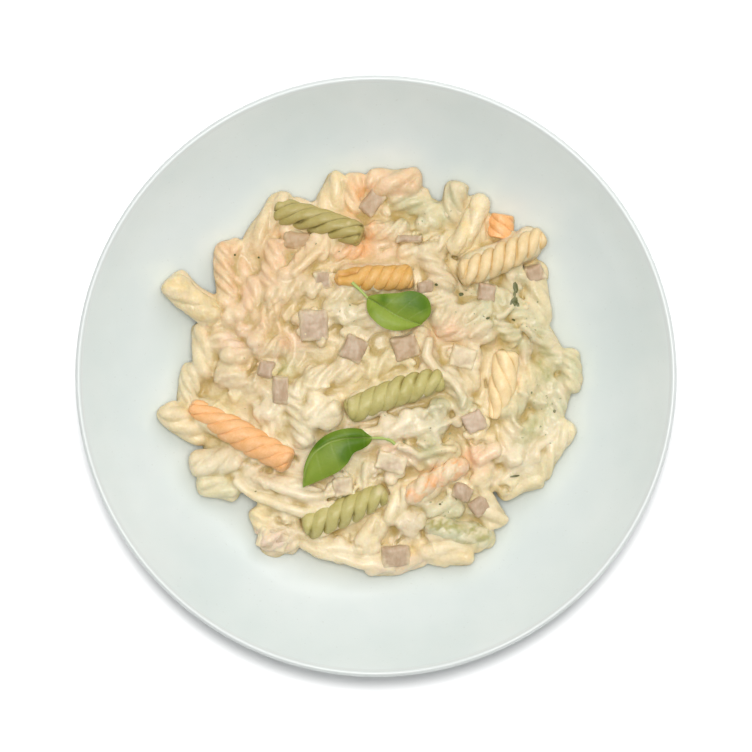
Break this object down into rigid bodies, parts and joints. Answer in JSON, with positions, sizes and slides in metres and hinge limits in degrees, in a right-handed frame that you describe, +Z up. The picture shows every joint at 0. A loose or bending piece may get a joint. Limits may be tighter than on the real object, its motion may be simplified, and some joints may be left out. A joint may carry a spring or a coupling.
{
  "type": "bowl of pasta",
  "caption": "Wide shallow glazed bowl of tricolour fusilli in a thick cream sauce, with diced ham and basil leaves on top.",
  "frame": {"origin": "centre of the foot ring, at the height of the table it stands on", "axes": "+Z up, out of the bowl's mouth; +Y away from the diner; +X to the right"},
  "size_m": [0.2496, 0.2496, 0.052],
  "materials": {
    "bowl_glaze": "cool off-white gloss glaze",
    "sauced_pasta": "cooked pasta under a thick, moist cream sauce",
    "green_pasta": "moist cooked spinach pasta",
    "orange_pasta": "moist cooked tomato pasta",
    "yellow_pasta": "moist cooked plain pasta",
    "ham": "moist cooked ham",
    "basil": "satin fresh leaf"
  },
  "bodies": {
    "root": {"bowl": "bowl_glaze", "pasta_heap": "sauced_pasta", "fusillo_green_1": "green_pasta", "fusillo_green_2": "green_pasta", "fusillo_green_3": "green_pasta", "fusillo_green_4": "green_pasta", "fusillo_orange_1": "orange_pasta", "fusillo_orange_2": "orange_pasta", "fusillo_orange_3": "orange_pasta", "fusillo_orange_4": "orange_pasta", "fusillo_yellow_1": "yellow_pasta", "fusillo_yellow_2": "yellow_pasta", "fusillo_yellow_3": "yellow_pasta", "fusillo_yellow_4": "yellow_pasta", "ham_01": "ham", "ham_02": "ham", "ham_03": "ham", "ham_04": "ham", "ham_05": "ham", "ham_06": "ham", "ham_07": "ham", "ham_08": "ham", "ham_09": "ham", "ham_10": "ham", "ham_11": "ham", "ham_12": "ham", "ham_13": "ham", "ham_14": "ham", "ham_15": "ham", "ham_16": "ham", "ham_17": "ham", "ham_18": "ham", "ham_19": "ham", "ham_20": "ham", "ham_21": "ham", "basil_leaf_1": "basil", "basil_leaf_2": "basil"}
  },
  "joints": []
}
